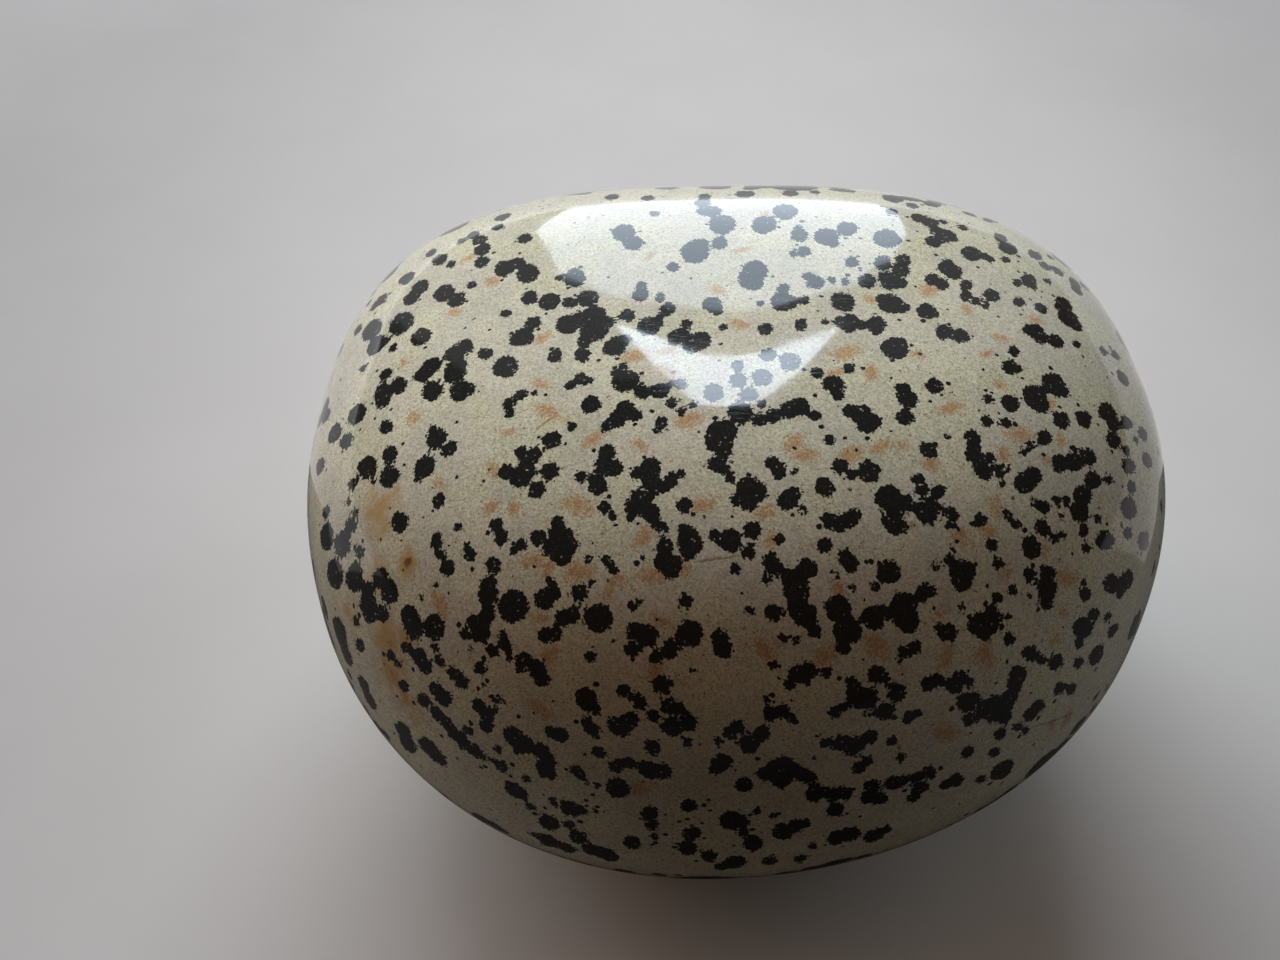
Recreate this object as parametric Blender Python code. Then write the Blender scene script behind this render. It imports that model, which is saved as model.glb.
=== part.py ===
"""Dalmatian stone: one polished, pillow-shaped pebble at its real size.

Metres, +Z up. The long axis of the stone runs along X, its fuller side faces -Y, and the
origin is under the middle of the stone, on the surface that it rests on. The stone is one
solid, with a small flat spot worn underneath.

The surface is a rounded form about a girdle, the level of the stone's widest section. In plan
the front half is nearly an ellipse and the back half is squarer. The crown above the girdle
is a flattened dome that leans a little to the front and to the right, and the underside
is a plainer dome, fuller at the front.
"""

import math

import bmesh
import bpy
from mathutils import Vector

# Reach of the stone from the middle of its girdle, in metres
HALF_LENGTH = 0.0400
FRONT_REACH = 0.0395
BACK_REACH = 0.0326
CROWN_RISE = 0.0252
UNDER_DROP = 0.0240
# The flat spot cuts the underside a little short of its full drop
REST_DROP = 0.0233

# Roundness of each half: 2 is an ellipse, and a larger number is squarer
FRONT_ROUNDNESS = 2.12
BACK_ROUNDNESS = 2.96
CROWN_ROUNDNESS = 2.66
UNDER_ROUNDNESS = 2.15

# Changes over one half length, as shares: the right end is narrower, the crown is higher
# at the front and on the right, and the underside is deeper at the front
RIGHT_NARROWING = 0.037
CROWN_FRONT_LEAN = 0.129
CROWN_RIGHT_LEAN = 0.060
UNDER_FRONT_LEAN = 0.120

# Broad worn flats: bearing in degrees from +X towards +Y, height above the girdle in
# degrees, half width in degrees, and depth as a share of the stone's reach there
WORN_FLATS = (
    (-69, -15, 24, 0.018),
    (148, -8, 22, 0.006),
    (35, 30, 18, 0.008),
)

# Squares along each edge of the cube that the faceted ball is made from; an even number
# puts a corner at each end of the three axes
SQUARES_PER_SIDE = 24
# Points this close to the flat spot's level are set on it, so that it has no sliver faces
LEVEL_TOLERANCE = 0.0001

STONE_COLOUR = (0.56, 0.55, 0.45, 1.0)
STONE_ROUGHNESS = 0.16


def clear_scene():
    for thing in list(bpy.data.objects):
        bpy.data.objects.remove(thing)


def bearing_direction(bearing, height):
    """The unit direction at a bearing and a height, both in degrees."""
    turn = math.radians(bearing)
    rise = math.radians(height)
    return Vector((math.cos(rise) * math.cos(turn), math.cos(rise) * math.sin(turn), math.sin(rise)))


def fullness(point):
    """How far out a point lies: below 1 inside the unworn stone, and 1 on its surface."""
    along = point.x / HALF_LENGTH
    across = point.y / HALF_LENGTH
    if point.y < 0:
        width, plan_power = FRONT_REACH, FRONT_ROUNDNESS
    else:
        width, plan_power = BACK_REACH, BACK_ROUNDNESS
    width *= 1 - RIGHT_NARROWING * along
    if point.z > 0:
        rise = CROWN_RISE * (1 - CROWN_FRONT_LEAN * across + CROWN_RIGHT_LEAN * along)
        power = CROWN_ROUNDNESS
    else:
        rise = UNDER_DROP * (1 - UNDER_FRONT_LEAN * across)
        power = UNDER_ROUNDNESS
    plan = abs(along) ** plan_power + abs(point.y / width) ** plan_power
    return (plan ** (power / plan_power) + abs(point.z / rise) ** power) ** (1 / power)


def worn_share(direction):
    """What wear leaves of the stone's reach along a unit direction."""
    share = 1.0
    for bearing, height, half_width, depth in WORN_FLATS:
        apart = direction.angle(bearing_direction(bearing, height))
        share -= depth * math.exp(-0.5 * (apart / math.radians(half_width)) ** 2)
    return share


def surface_point(direction):
    """The point of the stone's surface along a direction from the girdle's middle."""
    direction = direction.normalized()
    near = 0.0
    far = 2 * HALF_LENGTH
    for _ in range(40):
        middle = (near + far) / 2
        if fullness(direction * middle) < 1:
            near = middle
        else:
            far = middle
    return direction * (near * worn_share(direction))


def stone_mesh():
    """A faceted ball of even squares, drawn out to the stone's surface and cut flat below."""
    bm = bmesh.new()
    bmesh.ops.create_cube(bm, size=2)
    bmesh.ops.subdivide_edges(bm, edges=bm.edges[:], cuts=SQUARES_PER_SIDE - 1, use_grid_fill=True)
    for vert in bm.verts:
        even = Vector([math.tan(step * math.pi / 4) for step in vert.co])
        vert.co = surface_point(even)
    cut = bmesh.ops.bisect_plane(
        bm,
        geom=bm.verts[:] + bm.edges[:] + bm.faces[:],
        dist=LEVEL_TOLERANCE,
        plane_co=(0, 0, -REST_DROP),
        plane_no=(0, 0, -1),
        clear_outer=True,
    )
    rim = [piece for piece in cut["geom_cut"] if isinstance(piece, bmesh.types.BMEdge)]
    for edge in rim:
        for vert in edge.verts:
            vert.co.z = -REST_DROP
    bmesh.ops.edgeloop_fill(bm, edges=rim)
    bmesh.ops.recalc_face_normals(bm, faces=bm.faces[:])
    for face in bm.faces:
        face.smooth = True
    for edge in rim:
        edge.smooth = False
    return bm


def centre_over_origin(bm):
    """Stand the stone on Z = 0, with the middle of its box over the origin."""
    lowest = [min(vert.co[axis] for vert in bm.verts) for axis in range(3)]
    highest = [max(vert.co[axis] for vert in bm.verts) for axis in range(3)]
    middle = [(low + high) / 2 for low, high in zip(lowest, highest)]
    bmesh.ops.translate(bm, verts=bm.verts[:], vec=(-middle[0], -middle[1], -lowest[2]))


def stone_material():
    material = bpy.data.materials.new("polished_stone")
    material.use_nodes = True
    shader = material.node_tree.nodes["Principled BSDF"]
    shader.inputs["Base Color"].default_value = STONE_COLOUR
    shader.inputs["Roughness"].default_value = STONE_ROUGHNESS
    shader.inputs["Metallic"].default_value = 0.0
    return material


def make_stone():
    bm = stone_mesh()
    centre_over_origin(bm)
    mesh = bpy.data.meshes.new("dalmatian_stone")
    bm.to_mesh(mesh)
    bm.free()
    mesh.materials.append(stone_material())
    stone = bpy.data.objects.new("dalmatian_stone", mesh)
    bpy.context.collection.objects.link(stone)
    return stone


clear_scene()
make_stone()
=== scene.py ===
"""Dalmatian stone: the looks of one polished pebble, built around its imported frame.

Metres, +Z up, in the frame of the part: the stone's length runs along X, its fuller side
faces -Y, and it rests on Z = 0. The stone is a fine smooth mesh of the same rounded form
as the solid. Its black blotches, rust flecks, ochre stain and hairlines are fields worked
out at the points of that mesh, and the material turns them into grainy mineral markings.
"""

import math

import bmesh
import bpy
import numpy as np
from bpy.props import FloatProperty, FloatVectorProperty, IntProperty, PointerProperty
from mathutils import Matrix, Vector, kdtree, noise


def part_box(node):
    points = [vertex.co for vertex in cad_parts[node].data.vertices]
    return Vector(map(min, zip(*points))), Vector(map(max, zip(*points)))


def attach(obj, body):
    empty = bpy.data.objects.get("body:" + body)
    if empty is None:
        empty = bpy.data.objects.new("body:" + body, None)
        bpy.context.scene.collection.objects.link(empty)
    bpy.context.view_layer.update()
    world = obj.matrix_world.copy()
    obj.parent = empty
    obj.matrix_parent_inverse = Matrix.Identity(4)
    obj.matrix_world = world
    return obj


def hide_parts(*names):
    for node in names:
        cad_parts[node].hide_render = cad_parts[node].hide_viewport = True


bl_info = {
    "name": "Dalmatian Stone",
    "version": (1, 0, 0),
    "blender": (4, 5, 0),
    "location": "3D View > Sidebar > Stone",
    "description": "Makes a polished dalmatian stone and a pale floor with soft window light",
    "category": "Add Mesh",
}

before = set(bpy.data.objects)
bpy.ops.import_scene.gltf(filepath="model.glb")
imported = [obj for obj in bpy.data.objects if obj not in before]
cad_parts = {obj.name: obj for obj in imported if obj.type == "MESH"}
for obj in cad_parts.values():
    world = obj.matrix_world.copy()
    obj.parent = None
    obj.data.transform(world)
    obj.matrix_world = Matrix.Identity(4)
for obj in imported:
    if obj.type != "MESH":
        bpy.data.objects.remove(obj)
STONE_NODE = "dalmatian_stone"
STONE_LOW, STONE_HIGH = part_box(STONE_NODE)

# Millimetres in a metre, for the fields and textures that are read in millimetres
MM = 1000
# Half the length of each side of the floor
FLOOR_REACH = 1.4
# A blotch or dot counts as hidden if it faces the photograph's eye by less than this cosine
SEEN_LIMIT = 0.16

# Colours of the rock's patches and single grains, beside the ones that the finish gives
YELLOW_PATCH = (0.76, 0.77, 0.55, 1.0)
ROSY_PATCH = (0.66, 0.64, 0.58, 1.0)
PALE_GRAIN = (0.90, 0.90, 0.80, 1.0)
DULL_GRAIN = (0.27, 0.26, 0.20, 1.0)
PEPPER_GRAIN = (0.06, 0.05, 0.04, 1.0)
OCHRE_GRAIN = (0.68, 0.48, 0.22, 1.0)
RED_GRAIN = (0.34, 0.13, 0.07, 1.0)
BROWN_GRAIN = (0.068, 0.067, 0.060, 1.0)
HEALED_LINE = (0.21, 0.10, 0.06, 1.0)

# Broad worn flats: bearing in degrees from +X towards +Y, height above the girdle in
# degrees, half width in degrees, and depth as a share of the stone's reach there
WORN_FLATS = (
    (-69, -15, 24, 0.018),
    (148, -8, 22, 0.006),
    (35, 30, 18, 0.008),
)

# The photograph's frame, and its focal length in its own pixels
PHOTO_WIDTH = 1280
PHOTO_HEIGHT = 960
PHOTO_FOCAL = 1404

# Black blotches read off the photograph, area by area: the column and the row of the middle of each,
# and its longest width, all in the photograph's pixels
BACK_LEFT_BLOTCHES = (
    (503, 217, 14), (480, 240, 14), (483, 250, 16), (482, 262, 14), (504, 269, 18),
    (518, 264, 14), (528, 274, 20), (440, 260, 16), (407, 278, 16), (420, 287, 18),
    (381, 300, 14), (444, 293, 18), (457, 300, 16), (401, 323, 24), (372, 330, 24),
    (376, 345, 20), (422, 337, 18), (455, 354, 16), (465, 347, 16), (424, 375, 16),
    (432, 366, 16), (433, 391, 20), (455, 373, 22), (460, 365, 14), (462, 391, 20),
    (506, 367, 22), (523, 337, 20), (534, 323, 14), (530, 298, 16), (550, 302, 18),
    (588, 299, 18), (575, 278, 20), (568, 325, 20), (578, 319, 16), (594, 316, 22),
    (595, 330, 24), (607, 323, 14), (585, 342, 14), (583, 355, 16), (555, 356, 15),
    (613, 348, 18), (399, 385, 16), (384, 393, 20), (382, 402, 14), (581, 380, 14),
    (592, 405, 18), (498, 227, 12), (462, 241, 10), (474, 235, 12), (525, 239, 12),
    (451, 264, 10), (412, 298, 16), (374, 307, 10), (431, 253, 12), (358, 330, 12),
    (388, 341, 8), (394, 348, 9), (486, 354, 13), (472, 388, 10), (516, 341, 12),
    (570, 303, 12), (560, 278, 8), (506, 313, 10), (386, 374, 12), (522, 395, 12),
    (535, 393, 7), (510, 405, 13), (511, 415, 10), (570, 386, 10), (590, 380, 8),
    (363, 368, 9), (472, 285, 9),
)
BACK_MIDDLE_BLOTCHES = (
    (612, 197, 14), (745, 194, 16), (790, 193, 14), (893, 198, 20), (703, 203, 14),
    (712, 212, 16), (722, 225, 24), (720, 243, 14), (695, 252, 24), (700, 246, 16),
    (624, 233, 20), (633, 243, 16), (755, 272, 22), (752, 282, 20), (747, 277, 16),
    (785, 212, 22), (764, 225, 22), (799, 236, 16), (826, 237, 20), (847, 229, 18),
    (886, 239, 22), (804, 252, 12), (852, 262, 12), (882, 264, 16), (903, 260, 14),
    (901, 270, 16), (889, 281, 18), (866, 282, 15), (815, 283, 14), (783, 302, 20),
    (843, 303, 20), (838, 300, 14), (889, 304, 20), (849, 323, 20), (876, 325, 18),
    (894, 349, 22), (641, 296, 14), (629, 316, 14), (616, 347, 20), (649, 327, 20),
    (668, 309, 14), (681, 335, 16), (675, 340, 14), (692, 344, 20), (702, 341, 18),
    (712, 305, 16), (626, 381, 24), (643, 392, 15), (661, 391, 18), (681, 384, 12),
    (672, 404, 12), (714, 393, 20), (768, 355, 14), (790, 362, 20), (762, 378, 18),
    (738, 381, 16), (738, 366, 12),
    (833, 384, 18), (903, 390, 14), (908, 399, 18), (905, 417, 17), (625, 340, 12),
    (622, 317, 8), (657, 323, 12), (661, 316, 8), (687, 325, 11), (717, 311, 10),
    (642, 288, 12), (660, 298, 10), (655, 214, 9), (702, 212, 10), (798, 228, 8),
    (833, 243, 10), (895, 240, 12), (793, 254, 8), (673, 267, 11), (899, 284, 12),
    (884, 276, 10), (845, 282, 8), (832, 280, 8), (808, 277, 10), (783, 290, 12),
    (792, 302, 12), (805, 300, 9), (760, 304, 7), (882, 300, 12), (894, 308, 12),
    (905, 308, 10), (860, 325, 12), (840, 322, 10), (801, 325, 13), (765, 329, 13),
    (900, 343, 10), (825, 322, 7), (849, 368, 12), (817, 373, 12), (838, 394, 12),
    (617, 374, 10), (624, 367, 8), (672, 384, 10), (682, 412, 10), (694, 405, 9),
    (748, 395, 16), (723, 328, 8), (648, 198, 12), (705, 197, 12), (815, 192, 10),
    (850, 191, 10),
)
BACK_RIGHT_BLOTCHES = (
    (918, 218, 14), (930, 223, 14), (945, 236, 18), (933, 242, 14), (932, 204, 14),
    (1000, 238, 14), (1008, 248, 18), (971, 254, 18), (1035, 255, 14), (946, 267, 16),
    (953, 272, 16), (932, 280, 13), (942, 284, 12), (965, 286, 12), (992, 295, 14),
    (927, 311, 16), (1028, 281, 16), (1045, 266, 12), (1075, 283, 14), (1064, 304, 16),
    (1068, 318, 20), (1075, 325, 14), (1041, 308, 12), (943, 332, 16), (960, 335, 15),
    (1035, 331, 16), (1056, 341, 14), (1010, 367, 16), (1115, 355, 12), (933, 386, 16),
    (1053, 384, 22), (1060, 391, 14), (1033, 396, 22), (1038, 403, 18), (1010, 403, 16),
    (1123, 378, 14), (1107, 412, 18), (1113, 424, 14), (912, 206, 12), (891, 212, 10),
    (935, 230, 12), (950, 238, 12), (943, 222, 8), (962, 228, 9), (985, 257, 9),
    (991, 260, 8), (1006, 260, 10), (1050, 257, 8), (1057, 271, 12), (966, 296, 12),
    (975, 302, 9), (985, 305, 8), (935, 314, 8), (1017, 283, 10), (1033, 287, 8),
    (1047, 282, 8), (1077, 290, 12), (1019, 302, 11), (1056, 306, 8), (966, 338, 8),
    (1040, 338, 12), (1028, 329, 10), (1077, 344, 9), (1014, 351, 11), (1017, 369, 8),
    (1104, 351, 10), (938, 388, 10), (1027, 392, 10), (988, 399, 10),
)
MIDDLE_LEFT_BLOTCHES = (
    (357, 414, 19), (387, 427, 14), (335, 433, 18), (347, 441, 16), (326, 416, 14),
    (320, 466, 16), (367, 467, 20), (391, 455, 16), (390, 477, 20), (426, 467, 20),
    (437, 439, 20), (451, 449, 15), (439, 501, 14), (400, 522, 20), (327, 537, 22),
    (352, 526, 14), (343, 544, 20), (497, 525, 14), (501, 538, 14), (436, 541, 14),
    (449, 567, 16), (493, 565, 15), (539, 538, 15), (562, 538, 24), (562, 552, 22),
    (557, 527, 14), (552, 548, 16), (570, 545, 16), (522, 452, 14), (535, 455, 16),
    (528, 463, 16), (507, 472, 16), (521, 477, 22), (551, 471, 19), (538, 490, 15),
    (553, 440, 17), (596, 479, 14), (599, 486, 18), (608, 452, 16), (605, 465, 18),
    (616, 468, 16), (605, 507, 13), (580, 592, 15), (554, 592, 14), (545, 599, 18),
    (514, 606, 27), (488, 585, 16), (487, 596, 18), (335, 574, 24), (354, 580, 20),
    (355, 570, 14), (368, 590, 15), (368, 604, 18), (370, 615, 14), (381, 578, 18),
    (391, 592, 18), (383, 614, 15), (411, 616, 20), (414, 628, 20), (434, 627, 22),
    (487, 615, 16), (475, 622, 14), (483, 632, 18), (572, 615, 14), (563, 619, 14),
    (599, 617, 25), (546, 635, 16), (339, 630, 24), (374, 481, 7), (418, 479, 10),
    (433, 429, 10), (353, 484, 11), (350, 503, 8), (327, 512, 12), (356, 513, 9),
    (361, 551, 12), (460, 527, 9), (437, 551, 8), (443, 555, 10), (467, 546, 9),
    (471, 555, 12), (522, 545, 12), (514, 550, 9), (558, 521, 12), (533, 473, 8),
    (572, 427, 11), (582, 477, 12), (613, 516, 9), (590, 559, 10), (606, 560, 10),
    (613, 569, 11), (593, 582, 8), (551, 580, 8), (438, 584, 7), (421, 597, 7),
    (357, 621, 10), (467, 633, 12), (556, 632, 12), (502, 635, 8),
)
MIDDLE_BLOTCHES = (
    (625, 408, 16), (636, 416, 13), (618, 420, 18), (637, 473, 13), (651, 467, 18),
    (648, 478, 16), (656, 485, 16), (662, 487, 14), (671, 479, 14), (638, 496, 16),
    (633, 508, 16), (645, 507, 16), (651, 513, 16), (684, 505, 16), (722, 432, 26),
    (717, 442, 22), (724, 449, 18), (712, 437, 14), (740, 413, 24), (760, 420, 15),
    (775, 415, 16), (790, 411, 18), (800, 406, 18), (815, 416, 13), (715, 464, 14),
    (773, 463, 14), (779, 471, 16), (850, 411, 14), (859, 417, 14), (866, 425, 18),
    (874, 421, 14), (840, 467, 15), (869, 472, 20), (824, 487, 18), (748, 488, 22),
    (757, 491, 18), (748, 500, 20), (787, 500, 18), (793, 494, 14), (888, 497, 22),
    (893, 506, 20), (905, 503, 15), (827, 520, 14), (838, 523, 16), (848, 520, 16),
    (895, 525, 18), (752, 529, 16), (730, 540, 20), (748, 552, 14), (686, 531, 14),
    (690, 543, 22), (688, 552, 14), (665, 546, 16), (664, 561, 18), (671, 567, 20),
    (771, 562, 17), (807, 569, 18), (793, 580, 20), (797, 592, 22), (796, 603, 16),
    (824, 545, 14), (846, 556, 15), (850, 565, 15), (888, 572, 21), (838, 608, 22),
    (773, 612, 16), (803, 614, 22), (847, 630, 24), (842, 646, 13), (814, 630, 14),
    (872, 618, 20), (878, 610, 14), (903, 606, 24), (907, 620, 20), (893, 612, 16),
    (636, 630, 16), (648, 635, 18), (690, 633, 22), (609, 425, 12), (605, 430, 8),
    (662, 422, 12), (658, 430, 10), (650, 495, 10), (681, 474, 10), (630, 519, 8),
    (657, 524, 12), (664, 528, 9), (762, 404, 10), (806, 412, 10), (724, 469, 12),
    (731, 477, 12), (794, 472, 9), (829, 440, 11), (864, 410, 10), (850, 475, 11),
    (865, 463, 8), (736, 500, 12), (803, 510, 9), (880, 501, 12), (854, 516, 13),
    (886, 519, 12), (902, 528, 10), (715, 534, 12), (779, 538, 11), (643, 556, 7),
    (777, 568, 11), (735, 569, 11), (766, 578, 11), (836, 576, 8), (875, 587, 10),
    (852, 588, 8), (749, 610, 10), (686, 600, 12), (683, 610, 7), (632, 605, 9),
    (640, 601, 7),
)
MIDDLE_RIGHT_BLOTCHES = (
    (928, 451, 15), (1061, 420, 16), (1083, 419, 15), (1125, 423, 14), (1113, 440, 15),
    (1143, 434, 14), (1042, 438, 15), (971, 437, 14), (974, 455, 16), (980, 465, 15),
    (983, 473, 14), (1060, 463, 16), (1072, 462, 18), (1087, 457, 17), (1092, 480, 16),
    (1128, 466, 15), (1147, 461, 14), (1023, 483, 20), (1034, 475, 15), (1081, 495, 18),
    (1080, 512, 18), (1128, 508, 18), (922, 490, 14), (936, 492, 16), (924, 513, 20),
    (951, 514, 13), (990, 544, 13), (1041, 527, 16), (1104, 540, 18), (1144, 541, 18),
    (1030, 547, 19), (965, 570, 18), (961, 579, 20), (1048, 573, 15), (1047, 590, 19),
    (1045, 602, 14), (926, 590, 16), (1112, 584, 18), (1127, 580, 18), (1094, 614, 12),
    (977, 625, 20), (988, 622, 22), (992, 612, 14), (985, 633, 14), (947, 632, 18),
    (1084, 628, 20), (947, 437, 8), (986, 421, 13), (1005, 423, 11), (1030, 445, 9),
    (1023, 452, 9), (973, 447, 13), (990, 458, 12), (997, 467, 9), (1001, 475, 9),
    (1002, 484, 8), (1006, 467, 8), (1073, 449, 8), (1107, 479, 9), (1125, 450, 9),
    (1131, 487, 11), (1135, 440, 8), (1055, 500, 9), (1066, 501, 9), (1032, 504, 8),
    (1041, 507, 12), (918, 480, 12), (930, 505, 13), (941, 509, 7), (951, 525, 9),
    (979, 519, 12), (974, 525, 8), (1006, 513, 10), (1015, 523, 11), (1053, 538, 10),
    (1063, 536, 9), (1061, 515, 8), (1082, 530, 11), (1096, 519, 9), (1128, 533, 10),
    (1085, 548, 10), (952, 548, 7), (950, 561, 12), (934, 566, 9), (998, 563, 12),
    (1028, 573, 12), (1031, 580, 9), (1044, 579, 12), (1013, 589, 11), (996, 597, 12),
    (920, 596, 12), (1083, 583, 7), (1085, 594, 12), (1029, 596, 7), (1120, 592, 12),
    (1108, 617, 9), (1115, 628, 9), (1008, 616, 9), (962, 608, 8), (938, 627, 8),
)
FRONT_LEFT_BLOTCHES = (
    (341, 636, 22), (347, 655, 20), (360, 645, 14), (419, 656, 17), (426, 666, 16),
    (481, 667, 14), (455, 673, 14), (462, 681, 15), (364, 684, 18), (370, 700, 18),
    (436, 689, 14), (444, 697, 16), (525, 660, 14), (537, 669, 16), (543, 678, 15),
    (479, 705, 14), (487, 713, 15), (454, 734, 14), (463, 742, 14), (513, 735, 18),
    (523, 743, 20), (541, 751, 16), (548, 760, 15), (545, 768, 18), (560, 735, 15),
    (589, 725, 15), (587, 699, 20), (639, 701, 15), (621, 726, 20), (631, 720, 16),
    (617, 765, 15), (631, 761, 14), (618, 788, 20), (513, 788, 16), (520, 794, 14),
    (570, 808, 17), (549, 822, 18), (578, 838, 16), (548, 841, 20), (566, 848, 16),
    (592, 850, 18), (608, 855, 20), (632, 843, 16), (403, 731, 20), (408, 743, 20),
    (427, 746, 20), (436, 755, 18), (378, 727, 14), (446, 797, 14), (480, 818, 16),
    (391, 655, 11), (399, 664, 8), (406, 648, 12), (436, 647, 9), (441, 660, 11),
    (472, 648, 8), (484, 685, 7), (404, 686, 11), (424, 700, 13), (438, 713, 12),
    (446, 721, 13), (494, 650, 13), (506, 645, 13), (510, 657, 8), (521, 667, 10),
    (492, 697, 7), (502, 699, 8), (496, 707, 9), (487, 726, 13), (469, 729, 10),
    (474, 748, 13), (481, 755, 11), (498, 749, 8), (502, 766, 12), (491, 760, 7),
    (551, 775, 12), (551, 731, 13), (596, 731, 10), (597, 708, 10), (599, 751, 13),
    (624, 690, 13), (613, 720, 10), (591, 655, 11), (577, 771, 13), (583, 776, 9),
    (595, 785, 7), (526, 779, 9), (531, 806, 10), (553, 801, 9), (580, 811, 12),
    (595, 811, 8), (570, 824, 9), (443, 762, 10), (386, 735, 12), (533, 834, 9),
)
FRONT_MIDDLE_BLOTCHES = (
    (633, 647, 15), (671, 648, 17), (720, 638, 16), (723, 647, 17), (797, 673, 17),
    (808, 669, 16), (663, 683, 17), (668, 706, 16), (679, 709, 14), (672, 727, 18),
    (689, 722, 16), (771, 714, 16), (783, 711, 14), (762, 733, 15), (749, 744, 20),
    (653, 746, 16), (648, 769, 18), (662, 771, 17), (722, 761, 18), (716, 768, 15),
    (744, 784, 15), (781, 769, 26), (781, 779, 20), (767, 773, 16), (797, 771, 15),
    (806, 776, 14), (877, 675, 17), (855, 695, 18), (866, 697, 20), (896, 691, 17),
    (885, 711, 17), (842, 743, 18), (855, 744, 18), (869, 736, 15), (858, 766, 14),
    (816, 793, 18), (833, 794, 16), (845, 792, 15), (872, 786, 14), (893, 783, 14),
    (929, 773, 14), (920, 787, 15), (868, 797, 14), (880, 798, 15), (835, 809, 15),
    (689, 806, 14), (650, 813, 17), (730, 820, 20), (742, 822, 14), (692, 833, 15),
    (783, 831, 20), (795, 826, 16), (753, 842, 18), (688, 847, 18), (709, 856, 16),
    (735, 863, 20), (722, 867, 14), (770, 861, 14), (838, 837, 18), (850, 834, 18),
    (873, 836, 18), (656, 656, 13), (783, 637, 9), (796, 639, 8), (904, 652, 13),
    (899, 661, 8), (915, 647, 12), (773, 663, 10), (806, 681, 8), (826, 672, 11),
    (790, 684, 11), (655, 684, 8), (694, 668, 7), (654, 716, 12), (793, 720, 11),
    (767, 698, 8), (730, 732, 13), (738, 726, 13), (719, 740, 10), (688, 741, 11),
    (813, 778, 9), (886, 679, 8), (851, 682, 11), (861, 705, 10), (835, 712, 13),
    (843, 705, 10), (868, 714, 7), (908, 716, 12), (918, 712, 9), (825, 743, 12),
    (851, 751, 12), (892, 740, 10), (815, 758, 7), (867, 761, 12), (901, 757, 10),
    (903, 780, 12), (915, 777, 12), (913, 796, 12), (652, 824, 12), (744, 833, 10),
    (757, 810, 10), (773, 815, 8), (654, 836, 9), (806, 822, 10), (677, 845, 8),
    (800, 858, 12), (885, 830, 12), (813, 845, 10),
)
FRONT_RIGHT_BLOTCHES = (
    (1029, 653, 16), (1056, 662, 14), (1096, 655, 18), (928, 684, 14), (936, 680, 14),
    (953, 685, 18), (958, 677, 14), (965, 702, 16), (974, 698, 14), (970, 719, 15),
    (986, 710, 18), (994, 703, 16), (992, 715, 14), (1018, 675, 17), (1014, 685, 15),
    (1010, 696, 16), (1003, 716, 14), (1030, 714, 14), (1038, 706, 14), (1002, 770, 24),
    (955, 780, 16), (946, 784, 13), (967, 751, 12), (994, 752, 12), (1008, 638, 13),
    (1041, 659, 10), (1078, 643, 10), (1078, 663, 12), (1112, 631, 12), (968, 681, 12),
    (1007, 706, 13), (1000, 733, 12), (1017, 726, 9), (1024, 731, 9), (1059, 688, 12),
    (1071, 689, 13), (981, 779, 11),
)
MARKED_BLOTCHES = (
    BACK_LEFT_BLOTCHES + BACK_MIDDLE_BLOTCHES + BACK_RIGHT_BLOTCHES
    + MIDDLE_LEFT_BLOTCHES + MIDDLE_BLOTCHES + MIDDLE_RIGHT_BLOTCHES
    + FRONT_LEFT_BLOTCHES + FRONT_MIDDLE_BLOTCHES + FRONT_RIGHT_BLOTCHES
)

# Rust flecks read off the photograph: column and row, in its pixels
MARKED_FLECKS = (
    (469, 258), (493, 282), (455, 312), (405, 362), (542, 338), (543, 385), (636, 356),
    (668, 352), (668, 372), (650, 257), (690, 260), (742, 250), (765, 215), (740, 325),
    (717, 290), (845, 353), (836, 372), (871, 373), (870, 300), (928, 291), (967, 310),
    (985, 355), (1001, 338), (998, 385), (1035, 320), (917, 355), (950, 408), (1050, 405),
    (415, 418), (509, 432), (548, 412), (495, 470), (440, 483), (492, 507), (515, 508),
    (535, 560), (548, 568), (580, 570), (540, 617), (440, 602), (593, 440), (577, 505),
    (610, 590), (640, 445), (690, 420), (700, 505), (765, 512), (793, 443), (805, 455),
    (850, 455), (880, 447), (902, 445), (645, 535), (655, 575), (620, 580), (680, 565),
    (770, 540), (662, 620), (838, 588), (930, 463), (1003, 455), (1018, 435), (1060, 440),
    (1045, 460), (995, 507), (960, 535), (985, 530), (910, 528), (1045, 550), (1065, 578),
    (1005, 573), (940, 612), (1062, 612), (402, 690), (550, 655), (540, 710), (655, 668),
    (780, 640), (765, 650), (825, 655), (875, 645), (640, 788), (945, 655), (985, 655),
    (1055, 640), (945, 732), (1052, 725), (1068, 718),
)
# Ochre stain, most of it down the left flank: column, row and width in the photograph's
# pixels, and how strong each patch is, from 0 to a little over 1 at the darkest core
STAIN_PATCHES = (
    (382, 510, 56, 0.78),
    (380, 575, 48, 0.60),
    (350, 612, 44, 0.62),
    (386, 638, 52, 0.92),
    (392, 670, 60, 0.80),
    (406, 704, 50, 0.60),
    (408, 562, 26, 1.10),
    (406, 640, 30, 0.98),
    (562, 417, 60, 0.26),
)
# Hairlines healed with rust: both ends of each, in the photograph's pixels
HAIRLINES = (
    ((692, 562), (742, 555)),
    ((533, 434), (557, 414)),
    ((1030, 727), (1074, 712)),
)
# Outlines of the two window panes that show in the polish, in the photograph's pixels
LOWER_PANE = (
    (536, 232), (560, 272), (612, 296), (640, 301), (668, 305), (710, 310), (738, 312),
    (783, 305), (809, 297), (851, 289), (891, 262), (905, 235), (895, 212), (860, 200),
    (700, 196), (580, 205),
)
UPPER_PANE = (
    (615, 325), (655, 337), (690, 352), (712, 357), (740, 357), (768, 352), (794, 343),
    (840, 326), (800, 372), (756, 403), (727, 407), (699, 405), (655, 365),
)


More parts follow.
